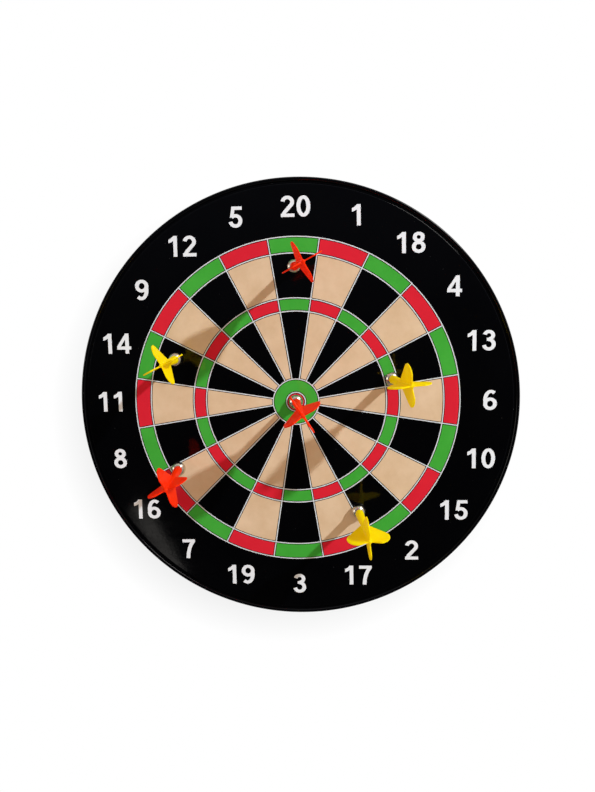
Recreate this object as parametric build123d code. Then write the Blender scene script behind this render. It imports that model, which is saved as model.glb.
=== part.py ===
from build123d import *
from math import cos, radians, sin, sqrt, tan
import os

# Magnetic dartboard, in millimetres.
# +Z is up, the face looks along -Y, and +X is to the right of someone facing it.
# The origin is the middle of the back panel's rear face, on the board's axis.

# Board: overall sizes
BOARD_RADIUS = 200.0
BOARD_DEPTH = 12.0  # rear face of the back panel to the printed face

# Face panel, pressed from one sheet of steel
SHEET = 0.5
BEAD_RADIUS = 1.7
BEAD_RISE = 0.9  # how far the bead stands in front of the printed face
GROOVE_WIDTH = 2.5
GROOVE_DEPTH = 1.0
GROOVE_LOWEST = 0.6  # where the groove is deepest, as a share of its width
GROOVE_LEAD = 0.8  # rounding where the flat face turns into the groove
HEM_RADIUS = 1.5  # outside corner where the skirt turns in behind
HEM_WIDTH = 8.0  # from the skirt to the hem's free edge

# What the face panel holds
BACK_PANEL = 2.0
PANEL_CLEARANCE = 0.3
CORE_CLEARANCE = 1.0  # core disc to the start of the groove

# Hanger: a bent steel bridge with a keyhole, riveted near the top
HANGER_EDGE = 50.0  # from the board's top edge down to the keyhole's round hole
HANGER_SHEET = 1.2
HANGER_RISE = 3.3  # room for a screw head behind the bridge
HANGER_WIDTH = 24.0
BRIDGE_LENGTH = 34.0
FOOT_LENGTH = 13.0
HANGER_RAMP = 3.5
FOOT_CORNER = 4.0
KEYHOLE_RADIUS = 4.5
KEYHOLE_SLOT_RADIUS = 2.3
KEYHOLE_SLOT_LENGTH = 8.0

# Rivets that hold the hanger on the back panel
RIVET_RADIUS = 1.6
RIVET_HEAD_RADIUS = 3.2
RIVET_HEAD_HEIGHT = 1.1
RIVET_TAIL_RADIUS = 2.7
RIVET_TAIL_HEIGHT = 0.8
RIVET_CLEARANCE = 0.05
RIVET_POCKET_CLEARANCE = 0.6

# Soft pads that keep the board parallel to the wall
PAD_RADIUS = 10.0
PAD_EDGE = 1.0
PAD_INSET = 40.0  # from the board's edge to the middle of a pad
PAD_COUNT = 4

# Dart: nose cap, turned and nickel plated
NOSE_RADIUS = 6.5
NOSE_EQUATOR = 2.2  # height of the widest ring
NOSE_FRONT_RADIUS = 20.0  # crown of the front face
NOSE_CORNER = 1.3  # width of the rounded corner beside the crown
NOSE_CORNER_REACH = 0.72  # middle of that corner, as shares of its width and height
NOSE_CORNER_RISE = 0.38
NOSE_FRONT_WALL = 1.4  # under the magnet
NOSE_SIDE_WALL = 1.4
FACE_GAP = 0.2  # nose to face

# Dart: magnet
MAGNET_THICKNESS = 2.0
MAGNET_CLEARANCE = 0.1

# Dart: moulded body
BARREL_RADIUS = 3.9
COLLAR = 0.75  # ledge of the barrel round its neck
NECK_CLEARANCE = 0.05
SEAT_CLEARANCE = 0.05
PLUG_THICKNESS = 1.3
BARREL_EDGE = 0.5
WAIST_RADIUS = 2.7
WAIST_HEIGHT = 40.0
TAIL_RADIUS = 1.7
TAIL_HEIGHT = 78.0  # the body's end above the front of the nose

# Dart: flights, moulded with the body. Each point is its distance ahead of the tail and its reach.
FLIGHT_COUNT = 4
FLIGHT_THICKNESS = 1.1
FLIGHT_EDGE = 0.4
FLIGHT_ROOT = 43.0  # where the leading edge leaves the axis
FLIGHT_SHOULDER = (17.0, 16.4)
FLIGHT_TIP = (10.0, 18.0)
FLIGHT_CORNER = (1.5, 15.2)
FLIGHT_HEEL = (-2.6, 9.6)
FLIGHT_BULGE = 0.5  # how far the rear edge bows out between corner and heel

# Where each dart stands: name, right of the bull, above it, lean right, lean up, twist (degrees)
DARTS = (
    ("red_1", 1.8, 121.8, 8.8, -0.8, 28.0),
    ("red_2", 1.1, 0.4, 7.3, -2.0, 33.0),
    ("red_3", -109.7, -60.8, 4.3, -1.1, 24.0),
    ("yellow_1", 87.7, 21.0, 7.8, 0.7, 6.0),
    ("yellow_2", -109.1, 40.8, 4.1, 0.0, 27.0),
    ("yellow_3", 56.6, -102.4, 4.9, -3.4, 4.0),
)

FACE_Y = -BOARD_DEPTH
GROOVE_START = BOARD_RADIUS - 2 * BEAD_RADIUS - GROOVE_WIDTH
CORE_REAR_Y = -BACK_PANEL
PAD_THICKNESS = HANGER_RISE + HANGER_SHEET
RIVET_OFFSET = BRIDGE_LENGTH / 2 + HANGER_RAMP + FOOT_LENGTH / 2
HANGER_HEIGHT = BOARD_RADIUS - HANGER_EDGE
NOSE_FRONT_EDGE = NOSE_RADIUS - NOSE_CORNER
SEAT_RADIUS = NOSE_RADIUS - NOSE_SIDE_WALL
MAGNET_RADIUS = SEAT_RADIUS - MAGNET_CLEARANCE
NECK_RADIUS = BARREL_RADIUS - COLLAR
NOSE_BORE = NECK_RADIUS + NECK_CLEARANCE
PLUG_HEIGHT = NOSE_FRONT_WALL + MAGNET_THICKNESS
NECK_HEIGHT = PLUG_HEIGHT + PLUG_THICKNESS
SECTION = Plane.XY  # half section of the board: X is the radius, Y runs from front to back


def on_sphere(radius, reach):
    """Height above its centre at which a sphere has this radius about the axis."""
    return sqrt(radius**2 - reach**2)


def disc(radius, front_y, rear_y):
    """Round plate on the board's axis."""
    plane = Plane(origin=(0, front_y, 0), z_dir=(0, 1, 0))
    return extrude(plane * Circle(radius), rear_y - front_y)


def pan_outline():
    """Half of the pan's outer outline, from the middle of the face round to the hem."""
    bead_x = BOARD_RADIUS - BEAD_RADIUS
    bead_y = FACE_Y + BEAD_RADIUS - BEAD_RISE
    bead_inner = (bead_x - BEAD_RADIUS, bead_y)
    bead_outer = (BOARD_RADIUS, bead_y)
    groove_bottom = (GROOVE_START + GROOVE_WIDTH * GROOVE_LOWEST, FACE_Y + GROOVE_DEPTH)
    hem_x = BOARD_RADIUS - HEM_RADIUS
    hem_y = SHEET - HEM_RADIUS
    hem_mid = (hem_x + HEM_RADIUS * sin(radians(45)), hem_y + HEM_RADIUS * cos(radians(45)))
    face = Line((0, FACE_Y), (GROOVE_START, FACE_Y))
    groove = ThreePointArc((GROOVE_START, FACE_Y), groove_bottom, bead_inner)
    bead = ThreePointArc(bead_inner, (bead_x, FACE_Y - BEAD_RISE), bead_outer)
    skirt = Line(bead_outer, (BOARD_RADIUS, hem_y))
    corner = ThreePointArc((BOARD_RADIUS, hem_y), hem_mid, (hem_x, SHEET))
    hem = Line((hem_x, SHEET), (0, SHEET))
    return Curve() + [face, groove, bead, skirt, corner, hem]


def make_face_panel():
    """Flat face, groove, rolled bead, skirt and hem, all from one sheet."""
    half = pan_outline()
    outline = make_face(Wire(half.edges() + mirror(half, about=Plane.YZ).edges()))
    lead = [v for v in outline.vertices() if abs(abs(v.X) - GROOVE_START) < SHEET / 10]
    outline = fillet(lead, GROOVE_LEAD)
    wall = outline - offset(outline, -SHEET)
    hem_edge = BOARD_RADIUS - HEM_WIDTH
    opening = Pos(0, SHEET) * Rectangle(2 * hem_edge, 4 * SHEET)
    half_plane = Pos(BOARD_RADIUS, 0) * Rectangle(2 * BOARD_RADIUS, 4 * BOARD_DEPTH)
    return revolve(SECTION * ((wall - opening) & half_plane), Axis.Y)


def rivet_centres():
    """Middle of each rivet on the back panel's rear face."""
    return [Vector(side * RIVET_OFFSET, 0, HANGER_HEIGHT) for side in (-1, 1)]


def rivet_holes(radius, front_y, rear_y):
    """Round cutters along the rivets."""
    plane = Plane(origin=(0, front_y, 0), z_dir=(0, 1, 0))
    hole = extrude(plane * Circle(radius), rear_y - front_y)
    return [Pos(*centre) * hole for centre in rivet_centres()]


def make_core_disc():
    """Stiffening disc between the steel face and the back panel."""
    core = disc(GROOVE_START - CORE_CLEARANCE, FACE_Y + SHEET, CORE_REAR_Y)
    pocket_radius = RIVET_TAIL_RADIUS + RIVET_POCKET_CLEARANCE
    pocket_depth = RIVET_TAIL_HEIGHT + RIVET_POCKET_CLEARANCE
    return core - rivet_holes(pocket_radius, CORE_REAR_Y - pocket_depth, CORE_REAR_Y)


def make_back_panel():
    """Hardboard disc held under the hem."""
    panel = disc(BOARD_RADIUS - HEM_RADIUS - PANEL_CLEARANCE, -BACK_PANEL, 0)
    return panel - rivet_holes(RIVET_RADIUS + RIVET_CLEARANCE, -BACK_PANEL, 0)


def hanger_section():
    """Bent strip: two feet on the panel and a raised bridge between them."""
    half_bridge = BRIDGE_LENGTH / 2
    ramp_end = half_bridge + HANGER_RAMP
    foot_end = ramp_end + FOOT_LENGTH
    under = [(half_bridge, HANGER_RISE), (ramp_end, 0), (foot_end, 0)]
    over = [(x, y + HANGER_SHEET) for x, y in reversed(under)]
    right = under + over
    left = [(-x, y) for x, y in reversed(right)]
    return make_face(Polyline(*right, *left, close=True))


def keyhole():
    """Round hole with a narrower slot above it."""
    slot_end = Pos(0, KEYHOLE_SLOT_LENGTH)
    slot = Pos(0, KEYHOLE_SLOT_LENGTH / 2) * Rectangle(2 * KEYHOLE_SLOT_RADIUS, KEYHOLE_SLOT_LENGTH)
    return Circle(KEYHOLE_RADIUS) + slot + slot_end * Circle(KEYHOLE_SLOT_RADIUS)


def make_hanger_plate():
    """Steel bridge with the keyhole that takes the wall screw."""
    rise = extrude(Plane.XY * hanger_section(), HANGER_WIDTH / 2, both=True)
    foot_end = BRIDGE_LENGTH / 2 + HANGER_RAMP + FOOT_LENGTH
    ends = rise.edges().filter_by(Axis.Y).filter_by(lambda e: abs(e.center().X) > foot_end - SHEET)
    plate = fillet(ends, FOOT_CORNER)
    wall_side = Plane(origin=(0, 0, 0), x_dir=(-1, 0, 0), z_dir=(0, 1, 0))
    plate -= extrude(wall_side * keyhole(), PAD_THICKNESS)
    plate = Pos(0, 0, HANGER_HEIGHT) * plate
    return plate - rivet_holes(RIVET_RADIUS + RIVET_CLEARANCE, 0, HANGER_SHEET)


def make_rivet():
    """Domed head on the foot, shank through both, and a flat tail inside."""
    head_y = HANGER_SHEET
    tail_y = -BACK_PANEL - RIVET_TAIL_HEIGHT
    crown = (0, head_y + RIVET_HEAD_HEIGHT)
    dome_radius = (RIVET_HEAD_RADIUS**2 + RIVET_HEAD_HEIGHT**2) / (2 * RIVET_HEAD_HEIGHT)
    mid_reach = RIVET_HEAD_RADIUS / 2
    dome_mid = (mid_reach, crown[1] - dome_radius + on_sphere(dome_radius, mid_reach))
    side = Polyline(
        crown,
        (0, tail_y),
        (RIVET_TAIL_RADIUS, tail_y),
        (RIVET_TAIL_RADIUS, -BACK_PANEL),
        (RIVET_RADIUS, -BACK_PANEL),
        (RIVET_RADIUS, head_y),
        (RIVET_HEAD_RADIUS, head_y),
    )
    dome = ThreePointArc((RIVET_HEAD_RADIUS, head_y), dome_mid, crown)
    return revolve(SECTION * make_face(Curve() + [side, dome]), Axis.Y)


def make_hanger_rivets():
    """Both rivets, as separate solids of one node."""
    rivet = make_rivet()
    return Compound([Pos(*centre) * rivet for centre in rivet_centres()])


def make_wall_pads():
    """Soft pads evenly spaced on one circle, as thick as the hanger stands out."""
    pad = disc(PAD_RADIUS, 0, PAD_THICKNESS)
    rim = pad.edges().group_by(Axis.Y)[-1]
    pad = fillet(rim, PAD_EDGE)
    circle = BOARD_RADIUS - PAD_INSET
    pads = []
    for index in range(PAD_COUNT):
        angle = radians(360 * (index + 0.5) / PAD_COUNT)
        pads.append(Pos(circle * cos(angle), 0, circle * sin(angle)) * pad)
    return Compound(pads)


# Each dart is drawn with its axis along +Z and the middle of its front crown at the origin.


def turned(outline):
    """Solid of revolution about the dart's axis from a half section."""
    return revolve(Plane.XZ * outline, Axis.Z)


def nose_outline():
    """Half section of the solid nose: crowned front, rounded corner and domed rear."""
    front_z = NOSE_FRONT_RADIUS - on_sphere(NOSE_FRONT_RADIUS, NOSE_FRONT_EDGE)
    half_edge = NOSE_FRONT_EDGE / 2
    front_mid = (half_edge, NOSE_FRONT_RADIUS - on_sphere(NOSE_FRONT_RADIUS, half_edge))
    corner_mid = (
        NOSE_FRONT_EDGE + NOSE_CORNER * NOSE_CORNER_REACH,
        front_z + (NOSE_EQUATOR - front_z) * NOSE_CORNER_RISE,
    )
    rear_z = NOSE_EQUATOR + on_sphere(NOSE_RADIUS, NOSE_BORE)
    rear_mid_x = (NOSE_RADIUS + NOSE_BORE) / 2
    rear_mid = (rear_mid_x, NOSE_EQUATOR + on_sphere(NOSE_RADIUS, rear_mid_x))
    front = ThreePointArc((0, 0), front_mid, (NOSE_FRONT_EDGE, front_z))
    corner = ThreePointArc((NOSE_FRONT_EDGE, front_z), corner_mid, (NOSE_RADIUS, NOSE_EQUATOR))
    rear = ThreePointArc((NOSE_RADIUS, NOSE_EQUATOR), rear_mid, (NOSE_BORE, rear_z))
    back = Polyline((NOSE_BORE, rear_z), (0, rear_z), (0, 0))
    return make_face(Curve() + [front, corner, rear, back])


def make_nose():
    """Cap with a seat for the magnet and a bore for the body's neck."""
    seat = Pos(0, 0, NOSE_FRONT_WALL) * extrude(Circle(SEAT_RADIUS), NECK_HEIGHT - NOSE_FRONT_WALL)
    bore = extrude(Circle(NOSE_BORE), NOSE_EQUATOR + NOSE_RADIUS)
    bore = Pos(0, 0, NECK_HEIGHT) * bore
    return turned(nose_outline()) - seat - bore


def make_magnet():
    """Disc magnet against the front wall of the nose."""
    return Pos(0, 0, NOSE_FRONT_WALL) * extrude(Circle(MAGNET_RADIUS), MAGNET_THICKNESS)


def flight_outline():
    """One flight from the axis outwards: X is the reach and Y the height along the dart."""
    root = (0, TAIL_HEIGHT - FLIGHT_ROOT)
    points = (FLIGHT_SHOULDER, FLIGHT_TIP, FLIGHT_CORNER, FLIGHT_HEEL)
    shoulder, tip, corner, heel = [(reach, TAIL_HEIGHT - ahead) for ahead, reach in points]
    bulge = ((corner[0] + heel[0]) / 2 + FLIGHT_BULGE, (corner[1] + heel[1]) / 2 + FLIGHT_BULGE)
    leading = Line(root, shoulder)
    outer = ThreePointArc(shoulder, tip, corner)
    trailing = ThreePointArc(corner, bulge, heel)
    closing = Polyline(heel, (0, TAIL_HEIGHT - TAIL_RADIUS), root)
    return make_face(Curve() + [leading, outer, trailing, closing])


def make_flight():
    """Thin plate with softened edges."""
    flight = extrude(Plane.XZ * flight_outline(), FLIGHT_THICKNESS / 2, both=True)
    faces = flight.faces().filter_by(Axis.Y)
    rims = [e for f in faces for e in f.edges() if e.bounding_box().max.X > BARREL_RADIUS]
    return fillet(rims, FLIGHT_EDGE)


def make_body():
    """Barrel seated on the domed nose, with its four flights."""
    plug = Pos(0, 0, PLUG_HEIGHT) * extrude(Circle(MAGNET_RADIUS), PLUG_THICKNESS)
    neck = Pos(0, 0, NECK_HEIGHT) * extrude(Circle(NECK_RADIUS), NOSE_RADIUS)
    seat = Pos(0, 0, NOSE_EQUATOR) * Sphere(NOSE_RADIUS + SEAT_CLEARANCE)
    collar_z = NOSE_EQUATOR + on_sphere(NOSE_RADIUS, BARREL_RADIUS)
    tail_z = TAIL_HEIGHT - TAIL_RADIUS
    tail_mid = (TAIL_RADIUS * cos(radians(45)), tail_z + TAIL_RADIUS * sin(radians(45)))
    flank = Polyline(
        (0, NOSE_EQUATOR),
        (BARREL_RADIUS, NOSE_EQUATOR),
        (BARREL_RADIUS, collar_z + BARREL_EDGE),
        (WAIST_RADIUS, WAIST_HEIGHT),
        (TAIL_RADIUS, tail_z),
    )
    end = ThreePointArc((TAIL_RADIUS, tail_z), tail_mid, (0, TAIL_HEIGHT))
    axis = Line((0, TAIL_HEIGHT), (0, NOSE_EQUATOR))
    barrel = turned(make_face(Curve() + [flank, end, axis])) - seat
    body = barrel + neck + plug
    flight = make_flight()
    for index in range(FLIGHT_COUNT):
        body += Rot(0, 0, 360 * index / FLIGHT_COUNT) * flight
    return body


def dart_place(right, up, lean_right, lean_up, twist):
    """Location that stands a dart on the face, leaning about the middle of its front crown."""
    axis = Vector(tan(radians(lean_right)), -1, tan(radians(lean_up))).normalized()
    centre = Vector(right, FACE_Y - FACE_GAP - NOSE_FRONT_RADIUS, up)
    apex = centre - axis * NOSE_FRONT_RADIUS
    level = Vector(1, 0, 0) - axis * axis.X
    return Location(Plane(origin=apex, x_dir=level, z_dir=axis)) * Rot(0, 0, twist)


def write(name, shape):
    """One STEP file for each node."""
    shape.label = name
    export_step(shape, f"parts/{name}.step")


def main():
    os.makedirs("parts", exist_ok=True)
    write("face_panel", make_face_panel())
    write("core_disc", make_core_disc())
    write("back_panel", make_back_panel())
    write("hanger_plate", make_hanger_plate())
    write("hanger_rivets", make_hanger_rivets())
    write("wall_pads", make_wall_pads())
    pieces = {"nose": make_nose(), "magnet": make_magnet(), "body": make_body()}
    for name, *place in DARTS:
        for piece, shape in pieces.items():
            write(f"dart_{name}_{piece}", dart_place(*place) * shape)


main()
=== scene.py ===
"""Magnetic dartboard: pressed steel face with a printed playing field, and six magnetic darts.

Everything is in metres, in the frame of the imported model: +Z up, the face looks along -Y.
"""

import math

import bmesh
import bpy
from mathutils import Matrix, Vector
from mathutils.geometry import delaunay_2d_cdt


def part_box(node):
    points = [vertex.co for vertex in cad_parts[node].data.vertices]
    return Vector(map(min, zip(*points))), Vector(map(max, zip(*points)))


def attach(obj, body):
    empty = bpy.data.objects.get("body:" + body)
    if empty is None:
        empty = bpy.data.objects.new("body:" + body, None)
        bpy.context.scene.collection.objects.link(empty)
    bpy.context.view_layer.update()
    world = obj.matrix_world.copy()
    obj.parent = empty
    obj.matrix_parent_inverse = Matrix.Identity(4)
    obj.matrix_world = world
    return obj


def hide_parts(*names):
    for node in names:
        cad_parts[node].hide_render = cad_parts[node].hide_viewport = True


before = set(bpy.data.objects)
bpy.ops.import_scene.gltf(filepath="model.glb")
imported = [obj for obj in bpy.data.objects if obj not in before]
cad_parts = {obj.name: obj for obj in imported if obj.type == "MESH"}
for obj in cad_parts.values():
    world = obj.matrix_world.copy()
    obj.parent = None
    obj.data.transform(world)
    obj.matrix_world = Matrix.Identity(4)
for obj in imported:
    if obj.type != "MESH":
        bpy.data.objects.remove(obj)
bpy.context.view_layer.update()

MM = 0.001
TAU = 2 * math.pi
WELD = 0.0005 * MM  # points nearer than this are one
FROM_AXIS_Z_TO_Y = Matrix(((1, 0, 0, 0), (0, 0, 1, 0), (0, 1, 0, 0), (0, 0, 0, 1)))

# The board's sizes, read from the frame apart from the thickness of the steel
BOARD_RADIUS = -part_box("face_panel")[0].x  # the side where the frame's flats lie closest in
SHEET = 0.5 * MM
FACE_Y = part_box("core_disc")[0].y - SHEET
WALL_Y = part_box("wall_pads")[1].y

# Rolled edge of the steel face
BEAD_RADIUS = 1.7 * MM
BEAD_RISE = 0.9 * MM
GROOVE_WIDTH = 2.5 * MM
GROOVE_DEPTH = 1.0 * MM
GROOVE_LOWEST = 0.6  # where the groove is deepest, as a share of its width
GROOVE_LEAD = 0.8 * MM
FLAT_MARGIN = 8.0 * MM  # a ring of points this far before the groove keeps the face's shading flat
HEM_RADIUS = 1.5 * MM
HEM_WIDTH = 8.0 * MM

# Playing field, as radii of the printed wires about the field's own middle
SECTORS = 20
BULL = 8.6 * MM
OUTER_BULL = 20.8 * MM
TREBLE = (82.1 * MM, 93.8 * MM)
DOUBLE = (133.4 * MM, 147.8 * MM)
FIELD_CENTRE = (-1.2 * MM, 0.7 * MM)
WIRE = 0.88 * MM
WIRE_EDGE = 0.64 * MM  # dark outline on each side of a wire
INK = 0.02 * MM  # each printed layer stands this far off the one below

# Ring of numbers, evenly spaced and printed a little off the field's middle
NUMBERS = (20, 1, 18, 4, 13, 6, 10, 15, 2, 17, 3, 19, 7, 16, 8, 11, 14, 9, 12, 5)
NUMBER_CENTRE = (0.3 * MM, 1.5 * MM)
NUMBER_RING = 173.0 * MM
NUMBER_HEIGHT = 18.3 * MM
NUMBER_TURN = math.radians(-0.3)
LOWER_SPREAD = 0.03  # below its middle the ring widens sideways, up to this share at the bottom

# Darts, with heights measured from the nose's front
FACE_GAP = 0.2 * MM
NOSE_RADIUS = 6.5 * MM
NOSE_EQUATOR = 2.2 * MM
NOSE_FRONT_RADIUS = 20 * MM
NOSE_CORNER = 1.3 * MM
NOSE_BORE = 3.2 * MM
NOSE_SEAT = 5.1 * MM
NOSE_WALL = 1.4 * MM
NECK_HEIGHT = 4.7 * MM
PLUG = (3.4 * MM, 4.65 * MM)  # heights of its two ends
CAP_FIT = 0.05 * MM  # room between the cap and the moulding inside it
BARREL_RADIUS = 3.9 * MM
WAIST_RADIUS = 2.7 * MM
WAIST_HEIGHT = 40 * MM
TAIL_RADIUS = 1.7 * MM
TAIL_HEIGHT = 78 * MM
FLIGHT_COUNT = 4
FLIGHT_THICKNESS = 1.1 * MM

# A flight's outline in mm: reach from the axis, and height over the end of the tail
FLIGHT_ROOT = (0.6, -43.0)
FLIGHT_SHOULDER = (16.4, -17.0)
FLIGHT_TIP = (18.0, -10.0)
FLIGHT_CORNER = (15.2, -1.5)
FLIGHT_HEEL = (9.6, 2.6)
FLIGHT_CLOSING = (0.6, -1.7)
FLIGHT_BULGE = 0.5  # how far the rear edge bows out between corner and heel

# Name, mm right of the board's middle and above it, lean right, lean up and twist in degrees.
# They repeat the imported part's. The places and leans come from a least-squares fit.
DARTS = (
    ("red_1", 1.8, 121.8, 8.8, -0.8, 28.0),
    ("red_2", 1.1, 0.4, 7.3, -2.0, 33.0),
    ("red_3", -109.7, -60.8, 4.3, -1.1, 24.0),
    ("yellow_1", 87.7, 21.0, 7.8, 0.7, 6.0),
    ("yellow_2", -109.1, 40.8, 4.1, 0.0, 27.0),
    ("yellow_3", 56.6, -102.4, 4.9, -3.4, 4.0),
)

# Back of the board
RIVET_OFFSET = 27 * MM
RIVET_RADIUS = 1.6 * MM
RIVET_HEAD = (3.2 * MM, 1.1 * MM)  # radius and height
RIVET_TAIL = (2.7 * MM, 0.8 * MM)  # radius and thickness
HANGER_SHEET = 1.2 * MM
BACK_PANEL = 2.0 * MM
HANGER_HEIGHT = 150 * MM
PAD_CIRCLE = 160 * MM
PAD_RADIUS = 10 * MM

# ---------------------------------------------------------------- node helpers


def srgb(code):
    """sRGB hex to the linear colour that a shader takes."""
    parts = [int(code[i : i + 2], 16) / 255 for i in (0, 2, 4)]
    return [p / 12.92 if p <= 0.04045 else ((p + 0.055) / 1.055) ** 2.4 for p in parts] + [1.0]


def add(tree, kind, inputs=None, **settings):
    """Adds a node, with its settings and with a value or a link for each named input."""
    made = tree.nodes.new(kind)
    for name, value in settings.items():
        setattr(made, name, value)
    for socket, value in (inputs or {}).items():
        if isinstance(value, bpy.types.NodeSocket):
            tree.links.new(value, made.inputs[socket])
        else:
            made.inputs[socket].default_value = value
    return made


def new_material(name, **sockets):
    """A material with one Principled shader, its constant sockets set. Underscores stand for spaces."""
    made = bpy.data.materials.new(name)
    made.use_nodes = True
    tree = made.node_tree
    tree.nodes.clear()
    shader = add(tree, "ShaderNodeBsdfPrincipled")
    for socket, value in sockets.items():
        shader.inputs[socket.replace("_", " ")].default_value = value
    output = add(tree, "ShaderNodeOutputMaterial")
    tree.links.new(shader.outputs["BSDF"], output.inputs["Surface"])
    return made, tree, shader


def show(tree, shader):
    """Makes this the shader that the material shows."""
    output = next(node for node in tree.nodes if node.type == "OUTPUT_MATERIAL")
    tree.links.new(shader.outputs[0], output.inputs["Surface"])


def object_place(tree):
    """Object coordinates, which are the row frame in metres."""
    return add(tree, "ShaderNodeTexCoord").outputs["Object"]


def grain(tree, place, size, detail=2.0, roughness=0.5, stretch=None):
    """Noise whose lumps are about this size in metres. stretch scales the place first."""
    if stretch:
        place = add(tree, "ShaderNodeMapping", {"Vector": place, "Scale": stretch}).outputs["Vector"]
    settings = {"Vector": place, "Scale": 1 / size, "Detail": detail, "Roughness": roughness}
    return add(tree, "ShaderNodeTexNoise", settings).outputs["Fac"]


def spread(tree, value, low, high, to_low=0.0, to_high=1.0):
    """Value between low and high mapped to to_low and to_high, clamped."""
    settings = {0: value, 1: low, 2: high, 3: to_low, 4: to_high}
    return add(tree, "ShaderNodeMapRange", settings, clamp=True).outputs[0]


def calc(tree, operation, one, other):
    """One sum on two values."""
    return add(tree, "ShaderNodeMath", {0: one, 1: other}, operation=operation).outputs[0]


def blend_colour(tree, share, one, other):
    """Mix of two colours by share."""
    settings = {0: share, 6: one, 7: other}
    return add(tree, "ShaderNodeMix", settings, data_type="RGBA").outputs[2]


def bump(tree, shader, heights):
    """Chains bumps. heights is a list of (value, depth in metres)."""
    normal = None
    for value, depth in heights:
        settings = {"Height": value, "Distance": depth, "Strength": 1.0}
        if normal:
            settings["Normal"] = normal
        normal = add(tree, "ShaderNodeBump", settings).outputs["Normal"]
    tree.links.new(normal, shader.inputs["Normal"])


# ---------------------------------------------------------------- materials


def glossy_print(name, colour, other_colour, mottle, dust_colour):
    """Stoving enamel or screen ink under one gloss: deep, with faint orange peel, hairlines and dust."""
    made, tree, shader = new_material(name, Specular_IOR_Level=0.27)
    place = object_place(tree)
    share = spread(tree, grain(tree, place, mottle, detail=5.0, roughness=0.6), 0.3, 0.7)
    tint = blend_colour(tree, share, srgb(colour), srgb(other_colour))
    specks = spread(tree, grain(tree, place, 1.1 * MM, detail=0.0), 0.86, 0.9, 0.0, 0.35)
    tint = blend_colour(tree, specks, tint, srgb(dust_colour))
    tree.links.new(tint, shader.inputs["Base Color"])
    smears = grain(tree, place, 45 * MM, detail=4.0, roughness=0.7, stretch=(1.0, 1.0, 2.2))
    rough = spread(tree, smears, 0.35, 0.75, 0.05, 0.11)
    hairs = grain(tree, place, 7 * MM, detail=1.0, stretch=(1.0, 1.0, 22.0))
    crossing = grain(tree, place, 9 * MM, detail=1.0, stretch=(26.0, 1.0, 1.0))
    worn = calc(tree, "MAXIMUM", spread(tree, hairs, 0.66, 0.72), spread(tree, crossing, 0.68, 0.74))
    rough = calc(tree, "ADD", rough, calc(tree, "MULTIPLY", worn, 0.12))
    tree.links.new(calc(tree, "ADD", rough, calc(tree, "MULTIPLY", specks, 0.4)), shader.inputs["Roughness"])
    bump(tree, shader, [(grain(tree, place, 2.6 * MM, detail=1.5), 0.008 * MM)])
    return made


def nickel_plate():
    """Nickel plate over turned steel: warm grey mirror, softly blurred where fingers have dulled it."""
    made, tree, shader = new_material("nickel_plate", Metallic=1.0)
    place = object_place(tree)
    tarnish = spread(tree, grain(tree, place, 3.5 * MM, detail=4.0), 0.35, 0.7)
    tint = blend_colour(tree, tarnish, srgb("E3DED4"), srgb("C9BFAE"))
    tree.links.new(tint, shader.inputs["Base Color"])
    tree.links.new(spread(tree, tarnish, 0.0, 1.0, 0.15, 0.27), shader.inputs["Roughness"])
    bump(tree, shader, [(grain(tree, place, 0.9 * MM), 0.004 * MM)])
    return made


def moulded_plastic(name, colour, deep_colour):
    """Injection moulded polypropylene: strong colour and a satin skin.

    Light passes through the thin flights, and a faint painted glow, an emission in the plastic's own colour,
    brightens their shaded sides in place of light scattered inside them and bounced from the room.
    """
    # Emission_Strength is a painted glow that lifts the shaded sides
    made, tree, shader = new_material(name, IOR=1.49, Specular_IOR_Level=0.15, Emission_Strength=0.13)
    place = object_place(tree)
    flow = spread(tree, grain(tree, place, 9 * MM, detail=3.0), 0.3, 0.7)
    tint = blend_colour(tree, flow, srgb(colour), srgb(deep_colour))
    tree.links.new(tint, shader.inputs["Base Color"])
    tree.links.new(tint, shader.inputs["Emission Color"])
    scuffs = grain(tree, place, 1.6 * MM, detail=6.0, roughness=0.7)
    tree.links.new(spread(tree, scuffs, 0.35, 0.7, 0.38, 0.52), shader.inputs["Roughness"])
    skin = grain(tree, place, 0.35 * MM, detail=2.0)
    bump(tree, shader, [(skin, 0.006 * MM), (grain(tree, place, 4 * MM), 0.04 * MM)])
    through = add(tree, "ShaderNodeBsdfTranslucent", {"Color": tint})
    both = add(tree, "ShaderNodeMixShader", {0: 0.38, 1: shader.outputs[0], 2: through.outputs[0]})
    show(tree, both)
    return made


def hardboard():
    """Pressed wood fibre: brown, flecked, with the fine screen pattern of its rear side."""
    made, tree, shader = new_material("hardboard", Specular_IOR_Level=0.3)
    place = object_place(tree)
    fibres = grain(tree, place, 1.2 * MM, detail=6.0, roughness=0.75, stretch=(1.0, 1.0, 0.35))
    clouds = grain(tree, place, 30 * MM, detail=4.0)
    dark = blend_colour(tree, spread(tree, fibres, 0.3, 0.7), srgb("6A492C"), srgb("966C43"))
    tint = blend_colour(tree, spread(tree, clouds, 0.35, 0.7), dark, srgb("7C5735"))
    tree.links.new(tint, shader.inputs["Base Color"])
    tree.links.new(spread(tree, fibres, 0.3, 0.7, 0.55, 0.75), shader.inputs["Roughness"])
    pitch = 2.2 * MM
    wave = {"Vector": place, "Scale": 1 / pitch / TAU * 2, "Distortion": 0.4}
    across = add(tree, "ShaderNodeTexWave", wave, bands_direction="X").outputs["Fac"]
    up = add(tree, "ShaderNodeTexWave", wave, bands_direction="Z").outputs["Fac"]
    bump(tree, shader, [(calc(tree, "MULTIPLY", across, up), 0.12 * MM), (fibres, 0.08 * MM)])
    return made


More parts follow.
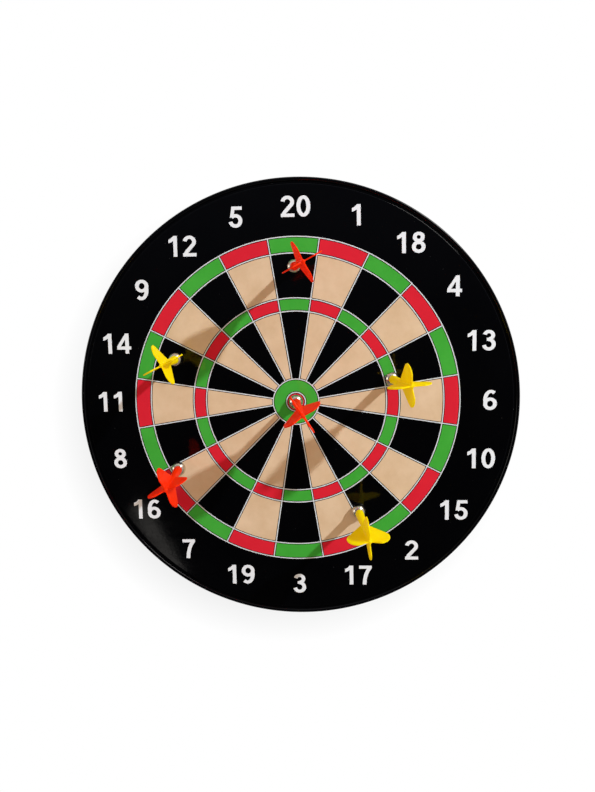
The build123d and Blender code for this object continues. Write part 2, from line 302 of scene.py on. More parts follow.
def fibreboard():
    """Soft insulating board: pale, matt and fibrous."""
    made, tree, shader = new_material("fibreboard", Roughness=0.9)
    place = object_place(tree)
    fibres = grain(tree, place, 0.8 * MM, detail=6.0, roughness=0.8)
    tint = blend_colour(tree, spread(tree, fibres, 0.3, 0.7), srgb("B39A78"), srgb("8F7654"))
    tree.links.new(tint, shader.inputs["Base Color"])
    bump(tree, shader, [(fibres, 0.15 * MM)])
    return made


def zinc_plate(name, colour, dull_colour):
    """Bright zinc over rolled steel: bluish grey, with the sheet's rolling lines and a cloudy bloom."""
    made, tree, shader = new_material(name, Metallic=1.0)
    place = object_place(tree)
    bloom = spread(tree, grain(tree, place, 5 * MM, detail=5.0, roughness=0.65), 0.35, 0.7)
    tint = blend_colour(tree, bloom, srgb(colour), srgb(dull_colour))
    tree.links.new(tint, shader.inputs["Base Color"])
    tree.links.new(spread(tree, bloom, 0.0, 1.0, 0.24, 0.42), shader.inputs["Roughness"])
    lines = grain(tree, place, 0.5 * MM, detail=3.0, stretch=(0.06, 1.0, 1.0))
    bump(tree, shader, [(lines, 0.02 * MM)])
    return made


def foam_rubber():
    """Closed-cell rubber pad: black, matt, with fine open pores."""
    made, tree, shader = new_material("foam_rubber", Specular_IOR_Level=0.3)
    place = object_place(tree)
    cells = {"Vector": place, "Scale": 1 / (0.7 * MM)}
    pores = add(tree, "ShaderNodeTexVoronoi", cells, feature="F1").outputs["Distance"]
    tint = blend_colour(tree, spread(tree, pores, 0.1, 0.6), srgb("161616"), srgb("2B2A29"))
    tree.links.new(tint, shader.inputs["Base Color"])
    tree.links.new(spread(tree, pores, 0.0, 0.7, 0.95, 0.7), shader.inputs["Roughness"])
    bump(tree, shader, [(pores, 0.12 * MM)])
    return made


# ---------------------------------------------------------------- mesh helpers


def mesh_object(name, vertices, faces, matrix=None):
    """A plain mesh object from points and faces."""
    data = bpy.data.meshes.new(name)
    place = matrix or Matrix()
    data.from_pydata([tuple(place @ Vector(v)) for v in vertices], [], faces)
    made = bpy.data.objects.new(name, data)
    bpy.context.scene.collection.objects.link(made)
    return made


def finish_mesh(thing, sharp=32):
    """Welds points, turns the normals outwards and shades it smooth but for edges over this many degrees."""
    form = bmesh.new()
    form.from_mesh(thing.data)
    bmesh.ops.remove_doubles(form, verts=form.verts, dist=WELD)
    bmesh.ops.recalc_face_normals(form, faces=form.faces)
    for face in form.faces:
        face.smooth = True
    for edge in form.edges:
        edge.smooth = edge.calc_face_angle(0.0) < math.radians(sharp)
    form.to_mesh(thing.data)
    form.free()


def settle(thing, material, body, slot, *nodes):
    """Gives a piece its material and body, and says which nodes it stands in for. The slot argument is not
    used.
    """
    thing.data.materials.clear()
    thing.data.materials.append(material)
    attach(thing, body)
    if nodes:
        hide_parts(*nodes)


def baked(thing):
    """The object's evaluated shape as a plain mesh, its modifiers gone."""
    shape = thing.evaluated_get(bpy.context.evaluated_depsgraph_get())
    data = bpy.data.meshes.new_from_object(shape)
    data.name = thing.name
    thing.modifiers.clear()
    thing.data = data
    return thing


def copier():
    """Geometry nodes that set copies of a motif round an axis and weld them where they meet."""
    tree = bpy.data.node_groups.new("copies_round_axis", "GeometryNodeTree")
    sides = {
        "Motif": "NodeSocketGeometry",
        "Count": "NodeSocketInt",
        "Centre": "NodeSocketVector",
        "Axis": "NodeSocketVector",
        "Material": "NodeSocketMaterial",
    }
    for name, kind in sides.items():
        tree.interface.new_socket(name=name, in_out="INPUT", socket_type=kind)
    tree.interface.new_socket(name="Copies", in_out="OUTPUT", socket_type="NodeSocketGeometry")
    given = add(tree, "NodeGroupInput").outputs
    points = add(tree, "GeometryNodePoints", {"Count": given["Count"], "Position": given["Centre"]})
    step = calc(tree, "DIVIDE", TAU, given["Count"])
    index = add(tree, "GeometryNodeInputIndex").outputs["Index"]
    angle = calc(tree, "MULTIPLY", index, step)
    turn = add(tree, "FunctionNodeAxisAngleToRotation", {"Axis": given["Axis"], "Angle": angle})
    settings = {"Points": points.outputs[0], "Instance": given["Motif"], "Rotation": turn.outputs[0]}
    copies = add(tree, "GeometryNodeInstanceOnPoints", settings).outputs[0]
    whole = add(tree, "GeometryNodeRealizeInstances", {"Geometry": copies}).outputs[0]
    welded = add(tree, "GeometryNodeMergeByDistance", {"Geometry": whole, "Distance": WELD}).outputs[0]
    painted = add(tree, "GeometryNodeSetMaterial", {"Geometry": welded, "Material": given["Material"]})
    output = add(tree, "NodeGroupOutput")
    tree.links.new(painted.outputs[0], output.inputs["Copies"])
    return tree


def copied(thing, tree, count, centre, axis, material):
    """Sets count copies of the object round an axis, as one plain mesh."""
    modifier = thing.modifiers.new("copies", "NODES")
    modifier.node_group = tree
    wanted = {"Count": count, "Centre": centre, "Axis": axis, "Material": material}
    for item in tree.interface.items_tree:
        if item.name in wanted and item.in_out == "INPUT":
            modifier[item.identifier] = wanted[item.name]
    return baked(thing)


def arc(centre, radius, start, end, steps):
    """Points on an arc, its two ends included. Angles are in degrees."""
    angles = [math.radians(start + (end - start) * i / steps) for i in range(steps + 1)]
    return [(centre[0] + radius * math.cos(a), centre[1] + radius * math.sin(a)) for a in angles]


def lathe(profile, steps):
    """Turns a closed half section of (radius, height) points about the Z axis."""
    vertices, faces = [], []
    count = len(profile)
    for i in range(steps):
        a = TAU * i / steps
        vertices += [(r * math.cos(a), r * math.sin(a), h) for r, h in profile]
    for i in range(steps):
        here, there = i * count, ((i + 1) % steps) * count
        for j in range(count):
            k = (j + 1) % count
            on_axis = (profile[j][0] == 0, profile[k][0] == 0)
            if all(on_axis):
                continue
            quad = [here + j, here + k, there + k, there + j]
            if on_axis[0]:
                quad.pop(3)
            if on_axis[1]:
                quad.pop(2)
            faces.append(quad)
    return vertices, faces


def plates(outlines, front, rear, open_angles=()):
    """Closed flat plate over all the outlines, which are lists of (x, z) and may overlap.

    Its sides are left out along rays from the origin at these angles, where a copy joins on.
    """
    corners, rings = [], []
    for outline in outlines:
        rings.append(list(range(len(corners), len(corners) + len(outline))))
        corners += [Vector(p) for p in outline]
    points, _, filled, _, _, sources = delaunay_2d_cdt(corners, [], rings, 0, WELD)
    triangles = [t for t, source in zip(filled, sources) if source]
    count = len(points)
    vertices = [(p.x, front, p.y) for p in points] + [(p.x, rear, p.y) for p in points]
    edges = {(a, b) for t in triangles for a, b in zip(t, (*t[1:], t[0]))}
    faces = [tuple(t) for t in triangles] + [tuple(i + count for i in reversed(t)) for t in triangles]

    def on_ray(point):
        return any(abs(point.x * math.sin(a) - point.y * math.cos(a)) < 2 * WELD for a in open_angles)

    for a, b in edges:
        if (b, a) not in edges and not (on_ray(points[a]) and on_ray(points[b])):
            faces.append((b, a, a + count, b + count))
    return vertices, faces


# ---------------------------------------------------------------- steel face


def pan_profile():
    """Closed section of the pressed sheet: face, groove, bead, skirt and hem, then back along the inside."""
    bead = (BOARD_RADIUS - BEAD_RADIUS, FACE_Y + BEAD_RADIUS - BEAD_RISE)
    groove_start = BOARD_RADIUS - 2 * BEAD_RADIUS - GROOVE_WIDTH
    lowest = (groove_start + GROOVE_WIDTH * GROOVE_LOWEST, FACE_Y + GROOVE_DEPTH)
    hem = (BOARD_RADIUS - HEM_RADIUS, SHEET - HEM_RADIUS)
    free_edge = BOARD_RADIUS - HEM_WIDTH + SHEET / 2
    lead_in = groove_start - GROOVE_LEAD / 2
    outside = [(0.0, FACE_Y), (groove_start - FLAT_MARGIN, FACE_Y), (lead_in - GROOVE_LEAD, FACE_Y)]
    steps = 14
    for i in range(steps):
        share = i / steps
        fall = math.sin(share * math.pi / 2) ** 2
        outside.append((lead_in + share * (lowest[0] - lead_in), FACE_Y + GROOVE_DEPTH * fall))
    outside.append(lowest)
    outside += arc(bead, BEAD_RADIUS, 180, 360, 26)
    outside += arc(hem, HEM_RADIUS, 0, 90, 10)
    outside += arc((free_edge, SHEET / 2), SHEET / 2, 90, 270, 8)
    inside = arc(hem, HEM_RADIUS - SHEET, 90, 0, 6)
    inside += arc(bead, BEAD_RADIUS - SHEET, 360, 200, 12)
    inside_lead = lead_in - 1 * MM
    inside += [(lowest[0], lowest[1] + SHEET), (inside_lead, FACE_Y + SHEET), (0.0, FACE_Y + SHEET)]
    return outside + inside


def make_face_panel(enamel):
    """The pressed steel face with its rolled edge."""
    shell = mesh_object("pressed_face", *lathe(pan_profile(), steps=360), FROM_AXIS_Z_TO_Y)
    finish_mesh(shell)
    settle(shell, enamel, "board", "black_enamel", "face_panel")


# ---------------------------------------------------------------- printed field

HALF_SECTOR = TAU / SECTORS / 2
FIELD_PLACE = (FIELD_CENTRE[0], 0.0, FIELD_CENTRE[1])


def stretch_of_ring(inner, outer, middle):
    """Outline of one sector's stretch of a ring about the origin."""
    steps = 12
    angles = [middle + HALF_SECTOR * (2 * i / steps - 1) for i in range(steps + 1)]
    outline = [(outer * math.cos(a), outer * math.sin(a)) for a in angles]
    if inner == 0:
        return outline + [(0.0, 0.0)]
    return outline + [(inner * math.cos(a), inner * math.sin(a)) for a in reversed(angles)]


def print_layer(name, outlines, level, tree, count, material, middle=None):
    """One colour of ink. With middle, the copies' stretches join up into whole rings."""
    front = FACE_Y - INK * (level + 1)
    joins = () if middle is None else (middle - HALF_SECTOR, middle + HALF_SECTOR)
    layer = mesh_object(name, *plates(outlines, front, FACE_Y, joins))
    copied(layer, tree, count, FIELD_PLACE, (0, 1, 0), material)
    finish_mesh(layer)
    settle(layer, material, "board", "black_enamel")


def make_field(tree, inks):
    """Beige, red and green cells, then the printed wires with their dark outlines."""
    half = SECTORS // 2
    black_sector = math.pi / 2
    beige_sector = black_sector - 2 * HALF_SECTOR
    beige = [
        stretch_of_ring(OUTER_BULL, TREBLE[0], beige_sector),
        stretch_of_ring(TREBLE[1], DOUBLE[0], beige_sector),
    ]
    scoring = (TREBLE, DOUBLE)
    red = [stretch_of_ring(*ring, beige_sector) for ring in scoring]
    green = [stretch_of_ring(*ring, black_sector) for ring in scoring]
    print_layer("beige_ink", beige, 0, tree, half, inks["beige"])
    print_layer("red_ink", red, 0, tree, half, inks["red"])
    print_layer("green_ink", green, 0, tree, half, inks["green"])
    bull = [stretch_of_ring(0, BULL, black_sector)]
    outer_bull = [stretch_of_ring(BULL, OUTER_BULL, black_sector)]
    print_layer("bull_ink", bull, 0, tree, SECTORS, inks["red"], black_sector)
    print_layer("outer_bull_ink", outer_bull, 0, tree, SECTORS, inks["green"], black_sector)
    spoke = black_sector + HALF_SECTOR
    for name, width, level in (("wire_edge", WIRE + 2 * WIRE_EDGE, 1), ("wire", WIRE, 2)):
        side = Vector((-math.sin(spoke), math.cos(spoke))) * width / 2
        out = Vector((math.cos(spoke), math.sin(spoke)))
        near, far = out * OUTER_BULL, out * DOUBLE[1]
        outlines = [[near - side, far - side, far + side, near + side]]
        for radius in (BULL, OUTER_BULL, *TREBLE, *DOUBLE):
            outlines.append(stretch_of_ring(radius - width / 2, radius + width / 2, spoke))
        print_layer(f"{name}_ink", outlines, level, tree, SECTORS, inks[name], spoke)


# ---------------------------------------------------------------- numbers

STEM = 0.19  # thickness of upright strokes, for a height of 1
BAR = 0.16  # thickness of level strokes
DIGIT_STEP = 0.765  # from one digit to the next


def stroke(path):
    """A drawn line as touching quads: upright stretches are STEM thick and level ones BAR thick."""
    path = [Vector(p) for p in path]
    sides = []
    for i, point in enumerate(path):
        before, after = path[max(i - 1, 0)], path[min(i + 1, len(path) - 1)]
        way = (after - before).normalized()
        half = math.hypot(STEM * way.y, BAR * way.x) / 2
        across = Vector((-way.y, way.x)) * half
        sides.append((point - across, point + across))
    return [[a[0], b[0], b[1], a[1]] for a, b in zip(sides, sides[1:])]


def bow(centre, radii, start, end):
    """Points on part of an ellipse, by angle in degrees."""
    steps = max(6, int(abs(end - start) / 8))
    angles = [math.radians(start + (end - start) * i / steps) for i in range(steps + 1)]
    return [(centre[0] + radii[0] * math.cos(a), centre[1] + radii[1] * math.sin(a)) for a in angles]


def block(left, bottom, right, top):
    """A rectangle."""
    return [(left, bottom), (right, bottom), (right, top), (left, top)]


LOW_BOWL = ((0.35, 0.31), (0.238, 0.232))  # middle and radii, for a height of 1

# Outlines of each digit for a height of 1, standing on 0. The 9 is the 6 turned over
DIGITS = {
    0: stroke(bow((0.35, 0.5), (0.238, 0.422), 0, 360)),
    1: [
        block(0.315, 0, 0.5, 1.0),
        [(0.08, 0.655), (0.2, 0.695), (0.32, 0.765), (0.32, 1.0), (0.215, 0.89), (0.08, 0.82)],
    ],
    2: stroke(bow((0.345, 0.705), (0.23, 0.217), 172, -38) + [(0.33, 0.36), (0.2, 0.22), (0.15, 0.12)])
    + [block(0.02, 0, 0.68, BAR)],
    3: stroke(bow((0.335, 0.745), (0.2, 0.177), 168, -90))
    + stroke(bow((0.335, 0.305), (0.235, 0.225), 90, -170))
    + [block(0.235, 0.475, 0.34, 0.62)],
    4: [
        block(0.0, 0.2, 0.71, 0.36),
        block(0.415, 0, 0.6, 1.0),
        [(0.0, 0.36), (0.185, 0.355), (0.425, 0.72), (0.6, 1.0), (0.43, 1.0)],
    ],
    5: [
        block(0.15, 1 - BAR, 0.655, 1.0),
        [(0.07, 0.475), (0.25, 0.5), (0.3, 0.85), (0.29, 1.0), (0.155, 1.0)],
    ]
    + stroke(bow((0.335, 0.322), (0.24, 0.245), 138, -170)),
    6: stroke(bow((0.385, 0.5), (0.272, 0.42), 52, 200)) + stroke(bow(*LOW_BOWL, 0, 360)),
    7: [block(0.03, 1 - BAR, 0.675, 1.0)]
    + stroke([(0.585, 0.9), (0.47, 0.73), (0.385, 0.53), (0.325, 0.27), (0.305, 0.0)]),
    8: stroke(bow((0.35, 0.75), (0.19, 0.17), 0, 360)) + stroke(bow((0.35, 0.29), (0.232, 0.21), 0, 360)),
}
DIGITS[9] = [[(0.7 - x, 1 - y) for x, y in outline] for outline in DIGITS[6]]


def number_outlines(value, middle):
    """A whole number, upright, its ink centred on its place."""
    drawn = []
    for i, one in enumerate(str(value)):
        drawn += [[(x + i * DIGIT_STEP, y) for x, y in outline] for outline in DIGITS[int(one)]]
    across = [x for outline in drawn for x, _ in outline]
    centre = (min(across) + max(across)) / 2

    def placed(x, y):
        return (middle[0] + NUMBER_HEIGHT * (x - centre), middle[1] + NUMBER_HEIGHT * (y - 0.5))

    return [[placed(x, y) for x, y in outline] for outline in drawn]


def make_numbers(material):
    """The ring of white numbers, none of them turned."""
    outlines = []
    for index, value in enumerate(NUMBERS):
        angle = math.pi / 2 - TAU * index / SECTORS + NUMBER_TURN
        sideways = 1 + LOWER_SPREAD * max(0.0, -math.sin(angle))
        x = NUMBER_CENTRE[0] + NUMBER_RING * math.cos(angle) * sideways
        z = NUMBER_CENTRE[1] + NUMBER_RING * math.sin(angle)
        outlines += number_outlines(value, (x, z))
    numbers = mesh_object("number_ink", *plates(outlines, FACE_Y - INK, FACE_Y))
    finish_mesh(numbers)
    settle(numbers, material, "board", "black_enamel")


# ---------------------------------------------------------------- darts


def dart_place(right, up, lean_right, lean_up, twist):
    """Matrix that stands a dart on the face, leaning about the middle of its front crown."""
    lean = (math.tan(math.radians(lean_right)), -1, math.tan(math.radians(lean_up)))
    axis = Vector(lean).normalized()
    centre = Vector((right * MM, FACE_Y - FACE_GAP - NOSE_FRONT_RADIUS, up * MM))
    level = (Vector((1, 0, 0)) - axis * axis.x).normalized()
    side = axis.cross(level)
    frame_of_dart = Matrix((level, side, axis)).transposed().to_4x4()
    apex = centre - axis * NOSE_FRONT_RADIUS
    return Matrix.Translation(apex) @ frame_of_dart @ Matrix.Rotation(math.radians(twist), 4, "Z")


def on_sphere(radius, reach):
    """Height over a sphere's middle, at this reach from its axis."""
    return math.sqrt(radius * radius - reach * reach)


def nose_profile():
    """Half section of the plated cap: crowned front, rounded corner, domed rear, bore and magnet seat."""
    edge = NOSE_RADIUS - NOSE_CORNER
    crown = math.degrees(math.asin(edge / NOSE_FRONT_RADIUS))
    front = arc((0, NOSE_FRONT_RADIUS), NOSE_FRONT_RADIUS, 270, 270 + crown, 10)
    low = NOSE_FRONT_RADIUS - on_sphere(NOSE_FRONT_RADIUS, edge)
    rise = NOSE_EQUATOR - low
    corner = []
    for i in range(1, 9):
        a = math.radians(90 * i / 9)
        corner.append((edge + NOSE_CORNER * math.sin(a), low + rise * (1 - math.cos(a))))
    bore_angle = math.degrees(math.acos(NOSE_BORE / NOSE_RADIUS))
    rear = arc((0, NOSE_EQUATOR), NOSE_RADIUS, 0, bore_angle, 22)
    inside = [(NOSE_BORE, NECK_HEIGHT), (NOSE_SEAT, NECK_HEIGHT), (NOSE_SEAT, NOSE_WALL), (0.0, NOSE_WALL)]
    return [(0.0, 0.0)] + front[1:] + corner + rear + inside


def barrel_profile():
    """Half section of the moulded barrel, with its neck and plug inside the cap."""
    seat = NOSE_RADIUS + CAP_FIT
    collar = NOSE_EQUATOR + on_sphere(seat, BARREL_RADIUS)
    neck = NOSE_BORE - CAP_FIT
    plug = NOSE_SEAT - 2 * CAP_FIT
    inside = [(0.0, PLUG[0]), (plug, PLUG[0]), (plug, PLUG[1]), (neck, PLUG[1])]
    hollow = [(neck, NOSE_EQUATOR + on_sphere(seat, neck))]
    ring = [(BARREL_RADIUS - 0.1 * MM, collar + 0.02 * MM), (BARREL_RADIUS, collar + 0.15 * MM)]
    low = collar + 0.5 * MM
    tail = TAIL_HEIGHT - TAIL_RADIUS
    steps = 12
    flank = [(BARREL_RADIUS, low)]
    for i in range(1, steps + 1):
        share = i / steps
        reach = BARREL_RADIUS + (WAIST_RADIUS - BARREL_RADIUS) * share
        flank.append((reach, low + (WAIST_HEIGHT - low) * share))
    for i in range(1, steps):
        share = i / steps
        reach = WAIST_RADIUS + (TAIL_RADIUS - WAIST_RADIUS) * share
        flank.append((reach, WAIST_HEIGHT + (tail - WAIST_HEIGHT) * share))
    end = arc((0, tail), TAIL_RADIUS, 0, 90, 8)[:-1] + [(0.0, TAIL_HEIGHT)]
    return inside + hollow + ring + flank + end


def flight_outline():
    """One flight from the axis outwards, as (reach, height) points."""
    tail = TAIL_HEIGHT / MM
    given = (FLIGHT_ROOT, FLIGHT_SHOULDER, FLIGHT_TIP, FLIGHT_CORNER, FLIGHT_HEEL, FLIGHT_CLOSING)
    root, shoulder, tip, corner, heel, closing = [(reach, tail + height) for reach, height in given]
    rear = [(one + other) / 2 + FLIGHT_BULGE for one, other in zip(corner, heel)]
    points = [root]
    points += three_point_arc(shoulder, tip, corner, 18)
    points += three_point_arc(corner, rear, heel, 8)[1:]
    points.append(closing)
    return [(reach * MM, height * MM) for reach, height in points]


def three_point_arc(start, middle, end, steps):
    """Points on the arc through three points."""
    (ax, ay), (bx, by), (cx, cy) = start, middle, end
    d = 2 * (ax * (by - cy) + bx * (cy - ay) + cx * (ay - by))
    a2, b2, c2 = ax * ax + ay * ay, bx * bx + by * by, cx * cx + cy * cy
    ux = (a2 * (by - cy) + b2 * (cy - ay) + c2 * (ay - by)) / d
    uy = (a2 * (cx - bx) + b2 * (ax - cx) + c2 * (bx - ax)) / d
    radius = math.hypot(ax - ux, ay - uy)
    first, last = math.atan2(ay - uy, ax - ux), math.atan2(cy - uy, cx - ux)
    while last < first:
        last += TAU
    if last - first > math.pi:
        last -= TAU
    return arc((ux, uy), radius, math.degrees(first), math.degrees(last), steps)


def make_dart_body_mesh(tree, material):
    """The moulded body once, at the origin: flights let into the barrel with soft fillets."""
    vertices, faces = plates([flight_outline()], -FLIGHT_THICKNESS / 2, FLIGHT_THICKNESS / 2)
    flights = mesh_object("flights", vertices, faces)
    copied(flights, tree, FLIGHT_COUNT, (0, 0, 0), (0, 0, 1), material)
    barrel = mesh_object("barrel", *lathe(barrel_profile(), steps=64))
    form = bmesh.new()
    form.from_mesh(flights.data)
    form.from_mesh(barrel.data)
    bmesh.ops.recalc_face_normals(form, faces=form.faces)
    form.to_mesh(flights.data)
    form.free()
    bpy.data.objects.remove(barrel)
    skin = flights.modifiers.new("skin", "REMESH")
    skin.mode = "VOXEL"
    skin.voxel_size = 0.26 * MM
    soften = flights.modifiers.new("soften", "SMOOTH")
    soften.factor = 0.5
    soften.iterations = 5
    thin = flights.modifiers.new("thin", "DECIMATE")
    thin.ratio = 0.4
    baked(flights)
    data = flights.data
    bpy.data.objects.remove(flights)
    return data


def make_darts(tree, plastics, nickel):
    """Six darts: each a plated nose cap and a moulded body, round the magnet that the frame gives."""
    body_mesh = make_dart_body_mesh(tree, plastics["red"])
    for name, *place in DARTS:
        colour = name.split("_")[0]
        matrix = dart_place(*place)
        nose = mesh_object(f"dart_{name}_cap", *lathe(nose_profile(), steps=72), matrix)
        finish_mesh(nose, sharp=40)
        settle(nose, nickel, f"dart_{name}", "nickel", f"dart_{name}_nose")
        data = body_mesh.copy()
        data.transform(matrix)
        body = bpy.data.objects.new(f"dart_{name}_moulding", data)
        bpy.context.scene.collection.objects.link(body)
        finish_mesh(body, sharp=60)
        settle(body, plastics[colour], f"dart_{name}", f"{colour}_plastic", f"dart_{name}_body")


# ---------------------------------------------------------------- back of the board


def finish_node(node, material):
    """Gives a carried-over node its finish."""
    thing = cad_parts[node]
    thing.data.materials.clear()
    thing.data.materials.append(material)


def make_rivets(tree, steel):
    """Two rivets: domed head on the hanger's foot, shank, and a flat tail inside the board."""
    head, rise = RIVET_HEAD
    dome = (head * head + rise * rise) / (2 * rise)
    top = HANGER_SHEET + rise
    low = -BACK_PANEL
    tail, thickness = RIVET_TAIL
    profile = [(0.0, low - thickness), (tail, low - thickness), (tail, low)]
    profile += [(RIVET_RADIUS, low), (RIVET_RADIUS, HANGER_SHEET)]
    edge = math.degrees(math.acos(head / dome))
    profile += arc((0, top - dome), dome, edge, 90, 12)[:-1] + [(0.0, top)]
    place = Matrix.Translation((RIVET_OFFSET, 0, 0)) @ FROM_AXIS_Z_TO_Y
    rivets = mesh_object("domed_rivets", *lathe(profile, steps=48), place)
    copied(rivets, tree, 2, (0, 0, HANGER_HEIGHT), (0, 1, 0), steel)
    finish_mesh(rivets)
    settle(rivets, steel, "board", "rivet_steel", "hanger_rivets")


def make_pads(tree, rubber):
    """Four round rubber pads with softened rims."""
    chamfer = 0.2 * MM
    edge = 1 * MM
    margin = 3 * MM
    side = [(0.0, 0.0), (PAD_RADIUS - chamfer, 0.0), (PAD_RADIUS, chamfer)]
    rim = arc((PAD_RADIUS - edge, WALL_Y - edge), edge, 0, 90, 8)
    profile = side + rim + [(PAD_RADIUS - margin, WALL_Y), (0.0, WALL_Y)]
    corner = PAD_CIRCLE * math.sqrt(0.5)
    place = Matrix.Translation((corner, 0, corner)) @ FROM_AXIS_Z_TO_Y
    pads = mesh_object("rubber_pads", *lathe(profile, steps=64), place)
    copied(pads, tree, 4, (0, 0, 0), (0, 1, 0), rubber)
    finish_mesh(pads)
    settle(pads, rubber, "board", "foam_rubber", "wall_pads")


# ---------------------------------------------------------------- studio

BLACK = (0, 0, 0, 1)
WHITE = (1, 1, 1, 1)
WARM_FILL = (0.504, 0.432, 0.36, 1)
COOL_GLOSS = (0.82, 0.88, 1.15, 1)
WARM_GLOSS = (1.0, 0.95, 0.86, 1)

STAGE_REACH = 6.0
FLOOR_Z = -0.9
# Painted shadow on the studio wall: its middle, its radii and its darkest glow
PAINTED_SHADOW_MIDDLE = (-18 * MM, 0, -20 * MM)
PAINTED_SHADOW_RADII = (178 * MM, 218 * MM)  # the wall's shade is deepest at the first and gone at the second
PAINTED_SHADOW_DEEPEST = 0.86

LAMP_WAY = Vector((-1.0, -0.1, 0.1)).normalized()
KEY_WAY = Vector((91, -63, 76)).normalized()
KEY_DISTANCE = 3.2

SENSOR = 36.0  # in mm, and so is the lens
LENS = 31.8182
CAMERA_PLACE = (33.51 * MM, FACE_Y - 631.74 * MM, 81.78 * MM)
CAMERA_TARGET = (0.19 * MM, FACE_Y, 5.95 * MM)
CAMERA_ROLL = math.radians(-0.96)


def plain_plane(name, corners, material):
    """A flat stage piece that only the camera sees."""
    plane = mesh_object(name, corners, [(0, 1, 2, 3)])
    plane.data.materials.append(material)
    plane.visible_diffuse = False
    plane.visible_glossy = False
    plane.visible_transmission = False
    plane.visible_shadow = False


def make_stage():
    """Plain white wall just behind the pads, with a floor far below.

    The wall is clear from the rear, and carries a painted soft shadow at the board's lower left, where its
    glow is dimmed.
    """
    wall, tree, shader = new_material(
        "studio_wall", Base_Color=BLACK, Specular_IOR_Level=0.0, Emission_Color=WHITE
    )
    # Painted shadow: the wall's glow is dimmed near a point to the board's lower left
    middle = {0: object_place(tree), 1: PAINTED_SHADOW_MIDDLE}
    apart = add(tree, "ShaderNodeVectorMath", middle, operation="DISTANCE").outputs["Value"]
    strength = spread(tree, apart, *PAINTED_SHADOW_RADII, to_low=PAINTED_SHADOW_DEEPEST)
    tree.links.new(strength, shader.inputs["Emission Strength"])
    behind = add(tree, "ShaderNodeNewGeometry").outputs["Backfacing"]
    clear = add(tree, "ShaderNodeBsdfTransparent")
    both = add(tree, "ShaderNodeMixShader", {0: behind, 1: shader.outputs[0], 2: clear.outputs[0]})
    show(tree, both)
    size = STAGE_REACH
    y = WALL_Y + 0.5 * MM
    corners = [(-size, y, FLOOR_Z), (size, y, FLOOR_Z), (size, y, size), (-size, y, size)]
    plain_plane("studio_wall", corners, wall)
    floor, _, _ = new_material("studio_floor", Base_Color=BLACK, Emission_Color=WHITE, Emission_Strength=1.0)
    corners = [(x, y, FLOOR_Z) for x, y in block(-size, -size, size, size)]
    plain_plane("studio_floor", corners, floor)


def make_world():
    """White to the camera, warm and even for fill.

    Gloss sees a room that is dark in front and light at the sides, with a soft lamp at the left.
    """
    world = bpy.data.worlds.new("studio")
    bpy.context.scene.world = world
    world.use_nodes = True
    tree = world.node_tree
    tree.nodes.clear()
    way = add(tree, "ShaderNodeTexCoord").outputs["Generated"]
    split = add(tree, "ShaderNodeSeparateXYZ", {0: way}).outputs
    side = spread(tree, split["Y"], low=-0.72, high=-0.1)
    height = spread(tree, split["Z"], low=-0.7, high=0.8, to_low=0.25, to_high=0.7)
    across = spread(tree, split["X"], low=-0.9, high=0.9, to_low=0.6, to_high=1.3)
    room = calc(tree, "MULTIPLY", side, calc(tree, "MULTIPLY", height, across))
    front = spread(tree, split["Z"], low=-0.12, high=0.42, to_low=0.015, to_high=0.13)
    toward = {0: way, 1: LAMP_WAY}
    near = add(tree, "ShaderNodeVectorMath", toward, operation="DOT_PRODUCT").outputs["Value"]
    lamp = spread(tree, near, low=0.965, high=0.99, to_high=2.2)
    strength = calc(tree, "ADD", room, calc(tree, "ADD", front, lamp))
    tint = blend_colour(tree, side, COOL_GLOSS, WARM_GLOSS)
    gloss = add(tree, "ShaderNodeBackground", {"Color": tint, "Strength": strength})
    white = add(tree, "ShaderNodeBackground", {"Color": WHITE, "Strength": 1.0})
    fill = add(tree, "ShaderNodeBackground", {"Color": WARM_FILL, "Strength": 1.0})
    path = add(tree, "ShaderNodeLightPath").outputs
    seen = {0: path["Is Camera Ray"], 1: fill.outputs[0], 2: white.outputs[0]}
    lit = add(tree, "ShaderNodeMixShader", seen)
    all_rays = {0: path["Is Glossy Ray"], 1: lit.outputs[0], 2: gloss.outputs[0]}
    both = add(tree, "ShaderNodeMixShader", all_rays)
    output = add(tree, "ShaderNodeOutputWorld")
    tree.links.new(both.outputs[0], output.inputs["Surface"])


def aim(thing, place, target, roll=0.0):
    """Puts a light or camera at place, looking at target."""
    way = (Vector(target) - Vector(place)).normalized()
    turn = way.to_track_quat("-Z", "Y").to_matrix().to_4x4() @ Matrix.Rotation(roll, 4, "Z")
    thing.matrix_world = Matrix.Translation(place) @ turn


def make_light(name, place, target, size, energy, colour, roll=0.0):
    """A rectangular light. size is its width and height."""
    data = bpy.data.lights.new(name, "AREA")
    data.shape = "RECTANGLE"
    data.size, data.size_y = size
    data.energy = energy
    data.color = colour
    light = bpy.data.objects.new(name, data)
    bpy.context.scene.collection.objects.link(light)
    aim(light, place, target, roll)
    return light


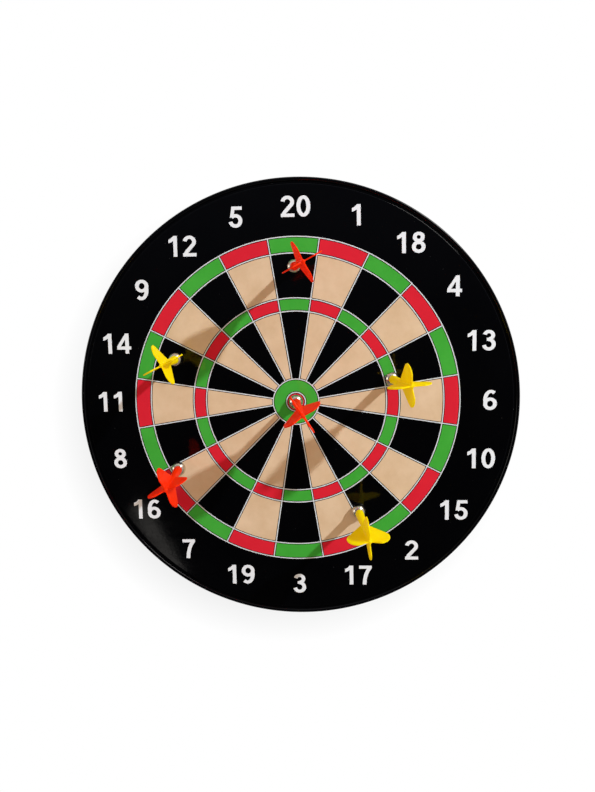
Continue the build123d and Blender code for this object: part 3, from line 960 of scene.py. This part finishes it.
def make_lights():
    """One key from the upper right, whose shadows cross the face, and two soft boxes for the gloss."""
    key = make_light(
        "key",
        place=KEY_WAY * KEY_DISTANCE,
        target=(0, 0, 0),
        size=(0.11, 0.11),
        energy=107.0,
        colour=(0.731, 0.866, 1.0),
    )
    key.visible_glossy = False
    window = make_light(
        "window",
        place=(0.75, -0.3, 0.9),
        target=(0, 0, 0),
        size=(0.55, 0.46),
        energy=6.0,
        colour=(1.0, 0.98, 0.95),
    )
    window.visible_diffuse = False
    strip = make_light(
        "strip",
        place=(-0.5, -1.39, -0.592),
        target=(-0.13, FACE_Y, -0.127),
        size=(0.25, 0.045),
        energy=0.045,
        colour=(1.0, 0.96, 0.9),
        roll=math.radians(-62),
    )
    strip.visible_diffuse = False


def make_camera():
    """Nearly square on, a little above the middle of the board."""
    data = bpy.data.cameras.new("camera")
    data.sensor_width = SENSOR
    data.lens = LENS
    data.clip_start = 0.01
    camera = bpy.data.objects.new("camera", data)
    bpy.context.scene.collection.objects.link(camera)
    aim(camera, CAMERA_PLACE, CAMERA_TARGET, CAMERA_ROLL)
    bpy.context.scene.camera = camera


# ---------------------------------------------------------------- assembly


def main():
    """Makes the materials, the pieces that wear them, and the studio round them."""
    tree = copier()
    dust = "6A6864"
    enamel = glossy_print("black_enamel", "020203", "040405", 60 * MM, dust)
    inks = {
        "beige": glossy_print("beige_ink", "EECDA9", "E0BC95", 24 * MM, "EAD9C0"),
        "red": glossy_print("red_ink", "E82838", "E12536", 20 * MM, "E25560"),
        "green": glossy_print("green_ink", "4AB23F", "42A938", 20 * MM, "7DBE77"),
        "wire_edge": glossy_print("wire_edge_ink", "16130F", "0E0C0A", 4 * MM, dust),
        "wire": glossy_print("wire_ink", "EDF0F2", "DCDFE1", 2 * MM, dust),
    }
    make_face_panel(enamel)
    make_field(tree, inks)
    make_numbers(glossy_print("number_ink", "FAFAFC", "F4F4F6", 20 * MM, "D8D8D8"))

    plastics = {
        "red": moulded_plastic("orange_red_plastic", "FF3A08", "F93204"),
        "yellow": moulded_plastic("yellow_plastic", "FFEE00", "FFE500"),
    }
    make_darts(tree, plastics, nickel_plate())
    magnet = zinc_plate("magnet_nickel", "B7B4AE", "98958F")
    for name, *_ in DARTS:
        finish_node(f"dart_{name}_magnet", magnet)

    make_pads(tree, foam_rubber())
    make_rivets(tree, zinc_plate("rivet_steel", "BDBFC1", "94979B"))
    finish_node("core_disc", fibreboard())
    finish_node("back_panel", hardboard())
    finish_node("hanger_plate", zinc_plate("zinc_plate", "C9CDD1", "A9AEB4"))

    make_stage()
    make_world()
    make_lights()
    make_camera()
    bpy.context.scene.view_settings.view_transform = "Standard"


main()
